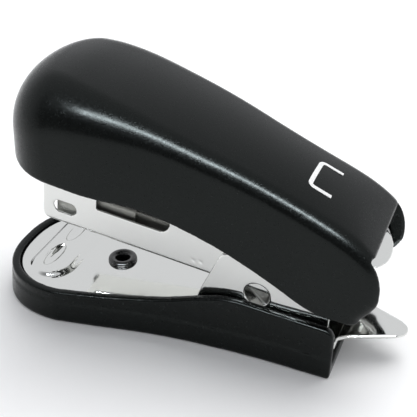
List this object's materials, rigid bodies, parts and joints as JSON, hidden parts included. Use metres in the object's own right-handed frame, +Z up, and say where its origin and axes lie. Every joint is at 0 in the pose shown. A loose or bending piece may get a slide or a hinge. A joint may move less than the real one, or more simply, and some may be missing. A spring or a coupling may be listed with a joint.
{
  "type": "stapler",
  "caption": "Small black hand stapler with a bulbous nose, bright metal magazine and anvil plate, and a staple-remover tongue at the rear.",
  "frame": {"origin": "under the middle of the object's box, on the surface that it stands on", "axes": "+X from the nose to the hinge and the staple remover, +Y to the stapler's left-hand side seen from its rear, +Z up"},
  "size_m": [0.0696, 0.0278, 0.0426],
  "materials": {
    "black_plastic": "satin, fine moulded grain",
    "black_steel": "blackened, satin",
    "nickel_plate": "bright nickel plate",
    "spring_steel": "plain drawn steel"
  },
  "bodies": {
    "base": {"base_cover": "black_plastic", "base_frame": "nickel_plate", "base_eyelet": "black_steel", "magazine_spring": "spring_steel", "magazine_spring_rivet": "spring_steel", "hinge_pin": "spring_steel"},
    "magazine": {"magazine_channel": "nickel_plate", "staple_rail": "spring_steel", "pusher_guide_rod": "spring_steel", "pusher_spring": "spring_steel", "rail_end_cap": "nickel_plate"},
    "pusher": {"staple_pusher": "nickel_plate"},
    "handle": {"top_cover": "black_plastic", "handle_bracket": "spring_steel", "driver_blade": "spring_steel", "driver_rivet": "spring_steel", "handle_spring": "spring_steel", "bracket_screw_front": "spring_steel", "bracket_screw_rear": "spring_steel"}
  },
  "joints": [
    {"name": "magazine_tilt", "type": "hinge", "parent": "base", "child": "magazine", "pos_m": [0.0257, 0, 0.0153], "axis": [0, -1, 0], "range_deg": [0, 11], "stiffness_Nm_per_rad": 0.04, "springref_deg": -20.05, "deforming": ["magazine_spring"]},
    {"name": "handle_press", "type": "hinge", "parent": "magazine", "child": "handle", "pos_m": [0.0257, 0, 0.0153], "axis": [0, -1, 0], "range_deg": [-85, 8], "stiffness_Nm_per_rad": 0.25, "deforming": ["handle_spring"]},
    {"name": "pusher_slide", "type": "slide", "parent": "magazine", "child": "pusher", "axis": [0.9925, 0, -0.1219], "range_m": [0, 0.022], "stiffness_N_per_m": 40, "springref_m": -0.02, "deforming": ["pusher_spring"]}
  ]
}
